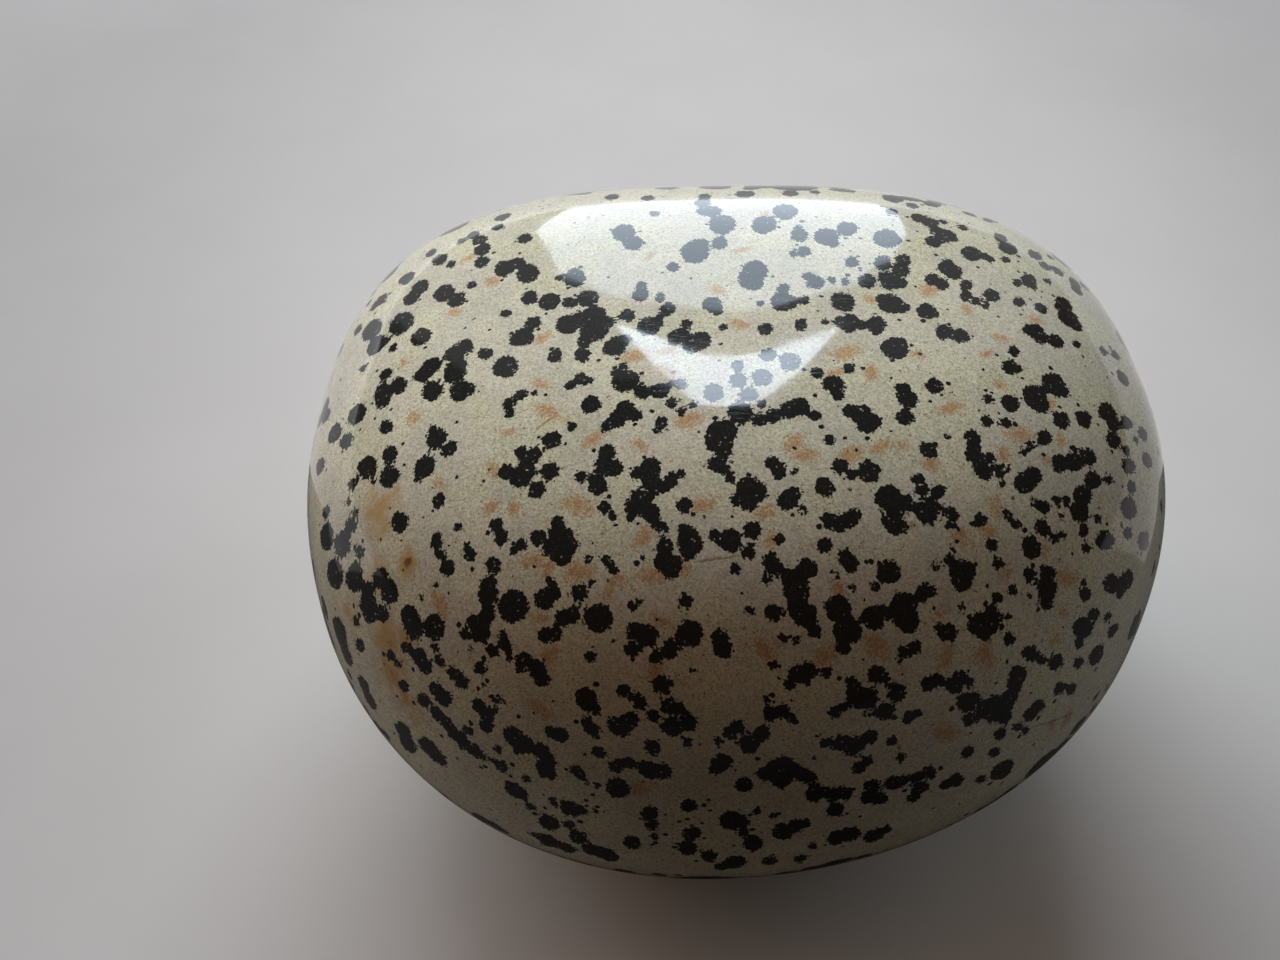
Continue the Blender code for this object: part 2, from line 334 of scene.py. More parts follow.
def length_prop(name, description, default, least=0.005, precision=4):
    return FloatProperty(
        name=name, description=description, default=default, min=least, unit="LENGTH",
        precision=precision)


def roundness_prop(name, description, default):
    return FloatProperty(
        name=name, description=description + ", where 2 is an ellipse", default=default,
        min=1.5, max=6)


def share_prop(name, description, default):
    return FloatProperty(
        name=name, description=description, default=default, min=-0.5, max=0.5, subtype="FACTOR")


def colour_prop(name, description, default):
    return FloatVectorProperty(
        name=name, description=description, default=default, min=0, max=1, size=3, subtype="COLOR")


def power_prop(name, description, default):
    return FloatProperty(name=name, description=description, default=default, min=0, unit="POWER")


class StoneShape(bpy.types.PropertyGroup):
    """The rounded form of the stone about its girdle, the level of its widest section."""

    half_length: length_prop("Half Length", "From the middle of the stone to either end", 0.0400)
    front_reach: length_prop("Front Reach", "From the girdle's middle to the fuller side", 0.0395)
    back_reach: length_prop("Back Reach", "From the girdle's middle to the squarer side", 0.0326)
    crown_rise: length_prop("Crown Rise", "Height of the crown above the girdle", 0.0252)
    under_drop: length_prop(
        "Underside Drop", "Depth of the unworn underside below the girdle", 0.0240)
    rest_drop: length_prop("Resting Drop", "Depth of the flat spot below the girdle", 0.0233)
    front_roundness: roundness_prop("Front Roundness", "Plan of the front half", 2.12)
    back_roundness: roundness_prop("Back Roundness", "Plan of the back half", 2.96)
    crown_roundness: roundness_prop("Crown Roundness", "Section above the girdle", 2.66)
    under_roundness: roundness_prop("Underside Roundness", "Section below the girdle", 2.15)
    right_narrowing: share_prop(
        "Right Narrowing", "Share of its width that the right end loses", 0.037)
    crown_front_lean: share_prop(
        "Crown Front Lean", "Share by which the crown is higher at the front", 0.129)
    crown_right_lean: share_prop(
        "Crown Right Lean", "Share by which the crown is higher on the right", 0.060)
    under_front_lean: share_prop(
        "Underside Front Lean", "Share by which the underside is deeper in front", 0.120)
    ripple: length_prop(
        "Polish Ripple", "Height of the slow waves that hand polishing leaves", 0.00004,
        least=0, precision=5)
    squares_per_side: IntProperty(
        name="Squares per Side", description="Squares along each edge of the fine mesh",
        default=124, min=16, max=128)


class StoneFinish(bpy.types.PropertyGroup):
    """Colours and sizes of the stone's markings."""

    ivory: colour_prop("Ivory", "The pale ground", (0.745, 0.750, 0.585))
    green_ivory: colour_prop("Green Ivory", "The duller clouds in the ground", (0.60, 0.63, 0.50))
    black: colour_prop("Black", "The dark mineral of the blotches", (0.018, 0.021, 0.021))
    rust: colour_prop("Rust", "The iron flecks", (0.55, 0.27, 0.10))
    ochre: colour_prop("Ochre", "The iron stain, most of it on the left flank", (0.58, 0.37, 0.13))
    umber: colour_prop("Umber", "The darkest core of the stain", (0.16, 0.085, 0.03))
    blotch_width: length_prop(
        "Blotch Width", "Middle width of the blotches that the photo hides", 0.0020, least=0.0002)
    dot_width: length_prop(
        "Dot Width", "Middle width of the small dots that the photo hides", 0.00095,
        least=0.0001, precision=5)
    seed: IntProperty(
        name="Seed", description="Starts the random places of the markings", default=7, min=0)


class StageLook(bpy.types.PropertyGroup):
    """The floor, the light and the camera."""

    floor_colour: colour_prop("Floor", "Colour of the plain floor", (0.77, 0.78, 0.80))
    fill_colour: colour_prop("Fill", "Dim warm light of the room", (0.040, 0.027, 0.017))
    sky_power: power_prop("Sky Power", "Soft light from behind the stone", 17.6)
    side_power: power_prop("Side Power", "Softer light from behind on the left", 7.0)
    ceiling_power: power_prop("Ceiling Power", "Dim warm light from above", 0.8)
    lamp_power: power_prop("Lamp Power", "Dim warm light from the left", 2.0)
    doorway_power: power_prop("Doorway Power", "Dim cool light from the right", 1.6)
    wall_power: power_prop("Wall Power", "Light of a square metre of wall round the window", 0.8)
    glass_colour: colour_prop("Window Glass", "Daylight that shows in the polish", (0.74, 0.86, 1.0))
    lower_glow: FloatProperty(
        name="Lower Pane", description="Brightness of the lower window pane, where 1 is white",
        default=3.4, min=0)
    upper_glow: FloatProperty(
        name="Upper Pane", description="Brightness of the upper window pane, where 1 is white",
        default=9.0, min=0)
    window_distance: length_prop(
        "Window Distance", "From the stone back to the window", 1.45, least=0.2, precision=2)
    camera_height: FloatProperty(
        name="Camera Height", description="Angle of the camera above the floor",
        default=math.radians(46), min=0, max=math.radians(90), subtype="ANGLE")
    camera_distance: length_prop(
        "Camera Distance", "From the girdle's middle to the camera", 0.13796, least=0.05)


def unit(vectors):
    """The vectors, row by row, at length 1."""
    return vectors / np.linalg.norm(vectors, axis=1, keepdims=True)


def fullness(points, shape):
    """How far out each point lies: below 1 inside the unworn stone, and 1 on its surface."""
    x, y, z = points.T
    along = x / shape.half_length
    across = y / shape.half_length
    width = np.where(y < 0, shape.front_reach, shape.back_reach)
    width = width * (1 - shape.right_narrowing * along)
    plan_power = np.where(y < 0, shape.front_roundness, shape.back_roundness)
    crown = 1 - shape.crown_front_lean * across + shape.crown_right_lean * along
    under = 1 - shape.under_front_lean * across
    rise = np.where(z > 0, shape.crown_rise * crown, shape.under_drop * under)
    power = np.where(z > 0, shape.crown_roundness, shape.under_roundness)
    plan = np.abs(along) ** plan_power + np.abs(y / width) ** plan_power
    return (plan ** (power / plan_power) + np.abs(z / rise) ** power) ** (1 / power)


def worn_share(directions):
    """What wear leaves of the stone's reach along each unit direction."""
    share = np.ones(len(directions))
    for bearing, height, half_width, depth in WORN_FLATS:
        turn, rise = math.radians(bearing), math.radians(height)
        middle = np.array((
            math.cos(rise) * math.cos(turn), math.cos(rise) * math.sin(turn), math.sin(rise)))
        apart = np.degrees(np.arccos(np.clip(directions @ middle, -1, 1)))
        share -= depth * np.exp(-0.5 * (apart / half_width) ** 2)
    return share


def surface_points(directions, shape):
    """The point of the worn surface along each direction from the girdle's middle."""
    halvings = 36
    directions = unit(directions)
    near = np.zeros(len(directions))
    far = np.full(len(directions), 2 * shape.half_length)
    for _ in range(halvings):
        middle = (near + far) / 2
        inside = fullness(directions * middle[:, None], shape) < 1
        near = np.where(inside, middle, near)
        far = np.where(inside, far, middle)
    return directions * (near * worn_share(directions))[:, None]


def rippled(points, height):
    """The points moved out or in a little, by slow waves a centimetre or so long."""
    wave_length = 0.011
    lift = [noise.noise(Vector(point) / wave_length) for point in points]
    return points + unit(points) * (height * np.array(lift))[:, None]


class PhotoView:
    """The photograph's camera, in the frame whose origin is the girdle's middle."""

    # The stone's middle lies right of the photograph's middle and a little below it
    STONE_COLUMN = 727.7
    STONE_ROW = 486.1

    def __init__(self, look):
        rise = look.camera_height
        self.back = np.array((0, -math.cos(rise), math.sin(rise)))
        self.up = np.array((0, math.sin(rise), math.cos(rise)))
        self.right = np.array((1.0, 0, 0))
        pixel = look.camera_distance / PHOTO_FOCAL
        self.eye = (
            self.back * look.camera_distance
            + self.right * (PHOTO_WIDTH / 2 - self.STONE_COLUMN) * pixel
            + self.up * (self.STONE_ROW - PHOTO_HEIGHT / 2) * pixel
        )

    def rays(self, columns, rows):
        """Directions from the eye through the photograph's pixels."""
        across = (np.asarray(columns, float) - PHOTO_WIDTH / 2) / PHOTO_FOCAL
        down = (np.asarray(rows, float) - PHOTO_HEIGHT / 2) / PHOTO_FOCAL
        return unit(np.outer(across, self.right) - np.outer(down, self.up) - self.back)

    def places(self, columns, rows, shape):
        """Where each pixel meets the stone, and how wide one pixel is there.

        A ray that just misses the outline takes the nearest place on the rim."""
        before_stone, past_stone, step_count = 0.08, 0.22, 560
        rays = self.rays(columns, rows)
        steps = np.linspace(before_stone, past_stone, step_count)
        nearest = np.full(len(rays), steps[-1])
        lowest = np.full(len(rays), np.inf)
        met = np.zeros(len(rays), bool)
        for step in steps:
            points = self.eye + rays * step
            depth = fullness(points / worn_share(unit(points))[:, None], shape)
            closer = ~met & (depth < lowest)
            nearest = np.where(closer, step, nearest)
            lowest = np.where(closer, depth, lowest)
            met |= depth < 1
        points = surface_points(self.eye + rays * nearest[:, None], shape)
        away = np.linalg.norm(points - self.eye, axis=1)
        return points, away / PHOTO_FOCAL


def tangent_steps(points, rng):
    """A random unit step along the surface at each point."""
    steps = rng.normal(size=points.shape)
    out = unit(points)
    steps -= out * np.sum(steps * out, axis=1, keepdims=True)
    return unit(steps)


def random_directions(count, rng):
    return unit(rng.normal(size=(count, 3)))


def outward(points, shape):
    """The direction out of the surface at each of its points."""
    nudge = 1e-5
    steps = np.eye(3) * nudge

    def depth(places):
        return fullness(places / worn_share(unit(places))[:, None], shape)

    return unit(np.stack([depth(points + step) - depth(points - step) for step in steps], axis=1))


def facing(points, view, shape):
    """Cosine between the surface's outward direction and the way to the photograph's eye."""
    return np.sum(outward(points, shape) * unit(view.eye - points), axis=1)


def mirrored_corners(outline, view, shape, distance):
    """Where an outline that shows in the polish stands, on an upright plane behind the stone."""
    columns, rows = np.array(outline, float).T
    places, _ = view.places(columns, rows, shape)
    rays = unit(places - view.eye)
    normals = outward(places, shape)
    back = rays - 2 * np.sum(rays * normals, axis=1, keepdims=True) * normals
    return places + back * ((distance - places[:, 1]) / back[:, 1])[:, None]


def marked_blotches(view, shape):
    """Middles and radii of the blotches read off the photograph.

    A blotch was read at its solid core, and its ragged edge lies a little further out."""
    ragged_share = 1.30
    columns, rows, widths = np.array(MARKED_BLOTCHES, float).T
    middles, pixel = view.places(columns, rows, shape)
    return middles, widths * pixel / 2 * ragged_share


def hidden_blotches(view, shape, finish, rng):
    """Seeded blotches in small chains, for the sides that the photograph doesn't show."""
    chains, more_in_chain = 680, 1.0
    size_spread = 0.36
    shortest_step, longest_step = 1.5, 2.4
    starts = surface_points(random_directions(chains, rng), shape)
    middles, radii = [], []
    for start in starts:
        place = start[None, :]
        for _ in range(1 + rng.poisson(more_in_chain)):
            radius = finish.blotch_width / 2 * math.exp(size_spread * rng.normal())
            middles.append(place[0])
            radii.append(radius)
            step = tangent_steps(place, rng) * radius * rng.uniform(shortest_step, longest_step)
            place = surface_points(place + step, shape)
    middles, radii = np.array(middles), np.array(radii)
    hidden = facing(middles, view, shape) < SEEN_LIMIT
    return middles[hidden], radii[hidden]


def small_dots(taken, taken_radii, view, shape, finish, rng):
    """Small dots on the hidden sides, kept off the blotches that are there already."""
    tries, clear_gap, size_spread = 1900, 0.00010, 0.40
    places = surface_points(random_directions(tries, rng), shape)
    places = places[facing(places, view, shape) < SEEN_LIMIT]
    radii = finish.dot_width / 2 * np.exp(size_spread * rng.normal(size=len(places)))
    kept, kept_radii = [], []
    for place, radius in zip(places, radii):
        others = np.vstack([taken, *kept]) if kept else taken
        other_radii = np.concatenate([taken_radii, kept_radii])
        apart = np.linalg.norm(others - place, axis=1)
        if np.all(apart > radius + other_radii + clear_gap):
            kept.append(place[None, :])
            kept_radii.append(radius)
    return np.vstack(kept), np.array(kept_radii)


def point_tree(points):
    tree = kdtree.KDTree(len(points))
    for index, point in enumerate(points):
        tree.insert(point, index)
    tree.balance()
    return tree


def near_points(tree, middle, radius):
    """Numbers of the points within the radius of a middle."""
    return np.array([found[1] for found in tree.find_range(middle, radius)], int)


def slanted_runs(middles, view, shape):
    """How the marks that the photograph shows at a slant lie: their long runs, and how long.

    Such a mark looks about as round there as the others, so it is longer on the stone."""
    even_facing, most = 0.75, 1.45
    normals = outward(middles, shape)
    sight = unit(view.eye - middles)
    cosine = np.sum(normals * sight, axis=1)
    return unit(sight - normals * cosine[:, None]), np.clip(even_facing / cosine, 1, most)


def oval_parts(away, run):
    """How far each step goes along a run, and the square of how far it goes across it."""
    along = away @ run
    return along, np.maximum(np.sum(away ** 2, axis=1) - along ** 2, 0)


def blotch_field(points, tree, middles, radii, runs, stretches, rng):
    """Millimetres from each point to the edge of the nearest blotch, positive inside one.

    A blotch is an oval here, and the material gives it a ragged edge."""
    margin, narrowest = 0.0016, 0.82
    field = np.full(len(points), -margin)
    for middle, radius, run, stretch in zip(middles, radii, runs, stretches):
        near = near_points(tree, middle, radius * stretch + margin)
        short = radius * rng.uniform(narrowest, 1.0)
        along, across_square = oval_parts(points[near] - middle, run)
        apart = np.sqrt((along / (radius * stretch)) ** 2 + across_square / short ** 2)
        field[near] = np.maximum(field[near], (1 - apart) * short)
    return np.maximum(field, -margin) * MM


def fleck_field(points, tree, view, shape, rng):
    """How close each point is to the middle of a rust fleck: 1 there, and 0 past its edge."""
    strewn_count, seen_limit = 150, 0.1
    shortest, longest = 0.0010, 0.0020
    least_squash, most_squash = 1.5, 2.6
    columns, rows = np.array(MARKED_FLECKS, float).T
    marked, _ = view.places(columns, rows, shape)
    strewn = surface_points(random_directions(strewn_count, rng), shape)
    strewn = strewn[facing(strewn, view, shape) < seen_limit]
    field = np.zeros(len(points))
    for middle in np.vstack([marked, strewn]):
        length = rng.uniform(shortest, longest)
        grain_run = tangent_steps(middle[None, :], rng)[0]
        near = near_points(tree, middle, length)
        along, across_square = oval_parts(points[near] - middle, grain_run)
        squash = rng.uniform(least_squash, most_squash)
        apart = np.sqrt(along ** 2 + across_square * squash ** 2) / length
        field[near] = np.maximum(field[near], 1 - apart)
    return field


def stain_field(points, view, shape):
    """Strength of the ochre stain at each point, from 0 to a little over 1 at a dark core."""
    steepness = 0.9
    columns, rows, widths, strengths = np.array(STAIN_PATCHES, float).T
    middles, pixel = view.places(columns, rows, shape)
    field = np.zeros(len(points))
    for middle, reach, strength in zip(middles, widths * pixel / 2, strengths):
        apart = np.linalg.norm(points - middle, axis=1) / reach
        field = np.maximum(field, strength * np.exp(-steepness * apart ** 2))
    return field


def hairline_fields(points, view, shape):
    """Signed millimetres across the nearest hairline, and how strong it is at each point."""
    # In millimetres where no hairline is near, and in metres round each end of one
    far_off = 5.0
    past_end, furthest_past, fade = 0.001, 0.002, 0.0008
    across = np.full(len(points), far_off)
    strength = np.zeros(len(points))
    for start, end in HAIRLINES:
        ends, _ = view.places((start[0], end[0]), (start[1], end[1]), shape)
        run = ends[1] - ends[0]
        length = np.linalg.norm(run)
        run = run / length
        side = np.cross(run, unit(ends[:1])[0])
        away = points - ends[0]
        along = away @ run
        near = (along > -past_end) & (along < length + past_end)
        near &= np.linalg.norm(away, axis=1) < length + furthest_past
        across = np.where(near, away @ side * MM, across)
        end_fade = np.clip(np.minimum(along, length - along) / fade, 0, 1)
        strength = np.where(near, end_fade, strength)
    return across, strength


def put_field(mesh, name, values):
    layer = mesh.attributes.new(name, "FLOAT", "POINT")
    layer.data.foreach_set("value", np.asarray(values, np.float32))


def stone_mesh(shape):
    """A ball of even squares drawn out to the stone's surface, and its points in the girdle's frame."""
    bm = bmesh.new()
    bmesh.ops.create_cube(bm, size=2)
    bmesh.ops.subdivide_edges(
        bm, edges=bm.edges[:], cuts=shape.squares_per_side - 1, use_grid_fill=True)
    mesh = bpy.data.meshes.new("polished_stone")
    bm.to_mesh(mesh)
    bm.free()
    cube = np.zeros(len(mesh.vertices) * 3)
    mesh.vertices.foreach_get("co", cube)
    even = np.tan(cube.reshape(-1, 3) * math.pi / 4)
    points = rippled(surface_points(even, shape), shape.ripple)
    points[:, 2] = np.maximum(points[:, 2], -shape.rest_drop)
    mesh.shade_smooth()
    return mesh, points


def into_frame(points):
    """How the girdle's frame moves, and shrinks if it must, to lie in the solid's own box."""
    low, high = points.min(axis=0), points.max(axis=0)
    room = np.array(STONE_HIGH) - np.array(STONE_LOW)
    share = min(1.0, float(np.min(room / (high - low))))
    middle = (np.array(STONE_LOW) + np.array(STONE_HIGH)) / 2
    shift = middle - share * (low + high) / 2
    shift[2] = STONE_LOW.z - share * low[2]
    return share, shift


def girdle_middle(shape):
    """Where the girdle's middle lies in the frame, from points strewn over the surface."""
    strewn, seed = 20000, 1
    points = surface_points(random_directions(strewn, np.random.default_rng(seed)), shape)
    points[:, 2] = np.maximum(points[:, 2], -shape.rest_drop)
    return into_frame(points)[1]


def wire(tree, value, socket):
    """Links a socket to another, or sets it where the value is a plain one."""
    if isinstance(value, bpy.types.NodeSocket):
        tree.links.new(value, socket)
    else:
        socket.default_value = value


def node(tree, kind, settings=None, **values):
    """A new node with its settings, and with its inputs wired by name."""
    made = tree.nodes.new(kind)
    for name, value in (settings or {}).items():
        setattr(made, name, value)
    for name, value in values.items():
        wire(tree, value, made.inputs[name.replace("_", " ")])
    return made


def maths(tree, operation, first, second=0.0, third=0.0):
    made = tree.nodes.new("ShaderNodeMath")
    made.operation = operation
    for socket, value in zip(made.inputs, (first, second, third)):
        wire(tree, value, socket)
    return made.outputs[0]


def centred(tree, value):
    """A value that runs from 0 to 1, moved to run from -0.5 to 0.5."""
    return maths(tree, "SUBTRACT", value, 0.5)


def ramp(tree, value, low, high, start=0.0, end=1.0):
    """A smooth step of the value from start at low to end at high."""
    made = node(
        tree, "ShaderNodeMapRange", {"interpolation_type": "SMOOTHSTEP"},
        Value=value, From_Min=low, From_Max=high, To_Min=start, To_Max=end)
    return made.outputs["Result"]


def tint(tree, share, below, above, blend_type="MIX"):
    """One colour laid over another by a share."""
    made = tree.nodes.new("ShaderNodeMix")
    made.data_type = "RGBA"
    made.blend_type = blend_type
    for index, value in ((0, share), (6, below), (7, above)):
        wire(tree, value, made.inputs[index])
    return made.outputs[2]


def opaque(colour):
    return (*colour, 1.0)


def field_value(tree, name):
    return node(tree, "ShaderNodeAttribute", {"attribute_name": name}).outputs["Fac"]


def in_millimetres(tree):
    """The object's own coordinates, in millimetres."""
    place = node(tree, "ShaderNodeTexCoord").outputs["Object"]
    scaled = node(tree, "ShaderNodeVectorMath", {"operation": "SCALE"}, Vector=place, Scale=float(MM))
    return scaled.outputs["Vector"]


def grains(tree, place, width):
    """Three random values for each mineral grain of about that width in millimetres."""
    cells = node(tree, "ShaderNodeTexVoronoi", Vector=place, Scale=1 / width)
    return node(tree, "ShaderNodeSeparateColor", Color=cells.outputs["Color"]).outputs


def clouds(tree, place, width, detail=2.0):
    """A soft value that drifts over about that width in millimetres."""
    drift = node(
        tree, "ShaderNodeTexNoise", Vector=place, Scale=1 / width, Detail=detail, Roughness=0.55)
    return drift.outputs["Fac"]


def scratches(tree, place, turn, width):
    """Straight fine streaks across the surface, turned by an angle about Z."""
    laid = node(
        tree, "ShaderNodeMapping", Vector=place, Rotation=(0.3, 0.2, turn),
        Scale=(0.10 / width, 2.0 / width, 0.10 / width))
    streaks = node(
        tree, "ShaderNodeTexNoise", Vector=laid.outputs["Vector"], Scale=1.0, Detail=2.0)
    return ramp(tree, streaks.outputs["Fac"], 0.60, 0.74)


def ground_colour(tree, place, coarse, fine, finish):
    """The ivory ground: clouds of two ivories, yellow and rosy patches, and uneven grains."""
    cloud_width, patch_width = 4.2, 6.0
    green_share = ramp(tree, clouds(tree, place, cloud_width, 4.0), 0.36, 0.66)
    # Towards the right end, +X, the ground takes more of the duller green ivory and is darker there
    across = node(tree, "ShaderNodeSeparateXYZ", Vector=place).outputs["X"]
    green_share = maths(tree, "ADD", green_share, ramp(tree, across, -5, 35, 0.0, 0.45))
    green_share = maths(tree, "MINIMUM", green_share, 1.0)
    ground = tint(tree, green_share, opaque(finish.ivory), opaque(finish.green_ivory))
    # Yellow patches are coarse and full of dark grains, and rosy ones are smooth
    peppery = ramp(tree, clouds(tree, place, patch_width, 3.0), 0.40, 0.60)
    yellow = maths(tree, "MULTIPLY", peppery, 0.45)
    rosy = maths(tree, "MULTIPLY_ADD", peppery, -0.40, 0.40)
    ground = tint(tree, yellow, ground, YELLOW_PATCH)
    ground = tint(tree, rosy, ground, ROSY_PATCH)
    shade = maths(tree, "MULTIPLY_ADD", fine["Red"], 0.46, 0.80)
    ground = tint(tree, 1.0, ground, shade, "MULTIPLY")
    pale = ramp(tree, coarse["Green"], 0.80, 0.98, 0.0, 0.50)
    ground = tint(tree, pale, ground, PALE_GRAIN)
    # Dark grains lie thickest where the ground is peppery
    thick = maths(tree, "MULTIPLY_ADD", peppery, 0.80, 0.20)
    dull = maths(tree, "MULTIPLY", ramp(tree, fine["Green"], 0.80, 0.96, 0.0, 0.45), thick)
    ground = tint(tree, dull, ground, DULL_GRAIN)
    pepper = maths(tree, "MULTIPLY", ramp(tree, fine["Blue"], 0.975, 0.985, 0.0, 0.85), thick)
    return tint(tree, pepper, ground, PEPPER_GRAIN)


def stained(tree, place, below, finish):
    """The ground with its ochre stain, darkest at the cores."""
    edge_width, raggedness = 1.3, 1.3
    ragged = centred(tree, clouds(tree, place, edge_width, 5.0))
    stain = maths(tree, "MULTIPLY_ADD", ragged, raggedness, field_value(tree, "stain"))
    yellow = ramp(tree, stain, 0.08, 0.85, 0.0, 0.82)
    colour = tint(tree, yellow, below, opaque(finish.ochre))
    core = ramp(tree, stain, 0.88, 1.15, 0.0, 0.85)
    return tint(tree, core, colour, opaque(finish.umber))


def rusted(tree, place, coarse, fine, below, finish):
    """The colour below with grainy rust flecks and hairlines on it."""
    drift_width, line_drift, line_strength = 0.5, 0.36, 0.62
    ochre_grains = ramp(tree, coarse["Red"], 0.30, 0.70, 0.0, 0.75)
    grain_colour = tint(tree, ochre_grains, opaque(finish.rust), OCHRE_GRAIN)
    red_grains = ramp(tree, fine["Red"], 0.78, 0.84, 0.0, 0.70)
    grain_colour = tint(tree, red_grains, grain_colour, RED_GRAIN)
    halo = ramp(tree, field_value(tree, "fleck"), 0.02, 0.7, 0.0, 0.32)
    colour = tint(tree, halo, below, opaque(finish.rust))
    jitter = centred(tree, fine["Blue"])
    fleck = maths(tree, "MULTIPLY_ADD", jitter, 0.95, field_value(tree, "fleck"))
    share = ramp(tree, fleck, 0.36, 0.50, 0.0, 0.74)
    colour = tint(tree, share, colour, grain_colour)
    drift = centred(tree, clouds(tree, place, drift_width))
    hairline = maths(tree, "MULTIPLY_ADD", drift, line_drift, field_value(tree, "hairline_across"))
    line = ramp(tree, maths(tree, "ABSOLUTE", hairline), 0.05, 0.11, 1.0, 0.0)
    line = maths(tree, "MULTIPLY", line, field_value(tree, "hairline"))
    line = maths(tree, "MULTIPLY", line, line_strength)
    return tint(tree, line, colour, HEALED_LINE)


def blotch_mask(tree, place, fine):
    """1 in the black blotches and specks, whose edges are toothed by the grains of the rock."""
    tooth_width, sway_width, speck_spacing = 0.30, 0.85, 1.05
    teeth = node(tree, "ShaderNodeTexVoronoi", Vector=place, Scale=1 / tooth_width)
    tooth = maths(tree, "SUBTRACT", 0.45, teeth.outputs["Distance"])
    sway = centred(tree, clouds(tree, place, sway_width))
    jag = centred(tree, fine["Blue"])
    depth = maths(tree, "MULTIPLY_ADD", tooth, tooth_width, field_value(tree, "blotch_depth"))
    depth = maths(tree, "MULTIPLY_ADD", sway, 0.36, depth)
    depth = maths(tree, "MULTIPLY_ADD", jag, 0.13, depth)
    solid = ramp(tree, depth, -0.03, 0.03)
    pale_grain = maths(tree, "GREATER_THAN", fine["Green"], 0.990)
    solid = maths(tree, "MULTIPLY_ADD", pale_grain, -0.5, solid)
    # Specks of one or two grains, thickest near the blotches
    cells = node(tree, "ShaderNodeTexVoronoi", Vector=place, Scale=1 / speck_spacing)
    size = node(tree, "ShaderNodeSeparateColor", Color=cells.outputs["Color"]).outputs["Green"]
    near = ramp(tree, field_value(tree, "blotch_depth"), -1.1, -0.2, 0.0, 0.10)
    reach = maths(tree, "MULTIPLY_ADD", size, 0.34, maths(tree, "ADD", near, -0.15))
    width = maths(tree, "MULTIPLY", reach, 1 / speck_spacing)
    edge = maths(tree, "SUBTRACT", width, cells.outputs["Distance"])
    speck = ramp(tree, maths(tree, "MULTIPLY_ADD", jag, 0.10, edge), -0.02, 0.03)
    return maths(tree, "MAXIMUM", maths(tree, "MAXIMUM", solid, 0.0), speck)


def new_material(name, settings):
    """A new material, and its shader with these plain values on the shader's own sockets."""
    material = bpy.data.materials.new(name)
    material.use_nodes = True
    shader = material.node_tree.nodes["Principled BSDF"]
    for socket, value in settings.items():
        shader.inputs[socket].default_value = value
    return material, shader


def polished_stone(finish):
    """The polished rock: ivory ground, stain, rust and black blotches under a worn gloss."""
    coarse_width, fine_width = 0.20, 0.13
    scratch_turn, scratch_width, scratch_dulling, scratch_depth = 0.5, 0.12, 0.10, 0.30
    material, shader = new_material("polished_dalmatian_stone", {"IOR": 1.54})
    tree = material.node_tree
    place = in_millimetres(tree)
    coarse = grains(tree, place, coarse_width)
    fine = grains(tree, place, fine_width)
    colour = ground_colour(tree, place, coarse, fine, finish)
    colour = stained(tree, place, colour, finish)
    colour = rusted(tree, place, coarse, fine, colour, finish)
    mask = blotch_mask(tree, place, fine)
    brown_grains = ramp(tree, fine["Red"], 0.65, 1.0, 0.0, 0.35)
    dark = tint(tree, brown_grains, opaque(finish.black), BROWN_GRAIN)
    colour = tint(tree, mask, colour, dark)
    wire(tree, colour, shader.inputs["Base Color"])

    marks = scratches(tree, place, scratch_turn, scratch_width)
    rough = ramp(tree, clouds(tree, place, 2.4, 3.0), 0.3, 0.75, 0.035, 0.085)
    rough = maths(tree, "MULTIPLY_ADD", marks, scratch_dulling, rough)
    wire(tree, rough, shader.inputs["Roughness"])

    cuts = maths(tree, "MULTIPLY", marks, -scratch_depth)
    relief = maths(tree, "MULTIPLY_ADD", coarse["Blue"], 0.10, cuts)
    bump = node(tree, "ShaderNodeBump", Strength=0.12, Distance=0.00002, Height=relief)
    wire(tree, bump.outputs["Normal"], shader.inputs["Normal"])
    return material


def floor_paper(look):
    """Plain pale paper, faintly cloudy, with painted light falloff that makes it darker away from the
    stone, and painted shade before it for bounced light.
    """
    painted_falloff_paper, painted_shade_paper = (0.53, 0.54, 0.56, 1.0), (0.03, 0.025, 0.02, 1.0)
    pale_reach, painted_falloff_reach = 35, 125
    dim_from, dim_to, dimming = -41, -68, 0.96
    material, shader = new_material("pale_floor", {"Roughness": 0.85, "Specular IOR Level": 0.15})
    tree = material.node_tree
    place = in_millimetres(tree)
    # The painted pool of light on the paper is an oval, longer along Y, and past it the paper is
    # painted darker
    oval = node(tree, "ShaderNodeMapping", Vector=place, Location=(-5, -18, 0), Scale=(1, 0.6, 1))
    away = node(tree, "ShaderNodeVectorMath", {"operation": "LENGTH"}, Vector=oval.outputs["Vector"])
    far = ramp(tree, away.outputs["Value"], pale_reach, painted_falloff_reach, 0.0, 0.90)
    share = maths(tree, "ADD", far, ramp(tree, clouds(tree, place, 26.0, 3.0), 0.3, 0.7, 0.0, 0.10))
    colour = tint(tree, share, opaque(look.floor_colour), painted_falloff_paper)
    # Before the stone the paper looks as pale as the rest, but for bounced and reflected light it is
    # painted near black: painted shade in front of the stone
    toward = node(tree, "ShaderNodeSeparateXYZ", Vector=place).outputs["Y"]
    unseen = maths(tree, "SUBTRACT", 1.0, node(tree, "ShaderNodeLightPath").outputs["Is Camera Ray"])
    dim = maths(tree, "MULTIPLY", ramp(tree, toward, dim_from, dim_to, 0.0, dimming), unseen)
    colour = tint(tree, dim, colour, painted_shade_paper)
    wire(tree, colour, shader.inputs["Base Color"])
    return material


def flat_sheet(name, corners, material):
    """One flat face of the stage, from its corners in order."""
    mesh = bpy.data.meshes.new(name)
    mesh.from_pydata([tuple(corner) for corner in corners], [], [tuple(range(len(corners)))])
    mesh.materials.append(material)
    sheet = bpy.data.objects.new(name, mesh)
    bpy.context.collection.objects.link(sheet)
    return sheet


def show_in_polish_alone(sheet):
    sheet.visible_camera = False
    sheet.visible_diffuse = False
    sheet.visible_shadow = False


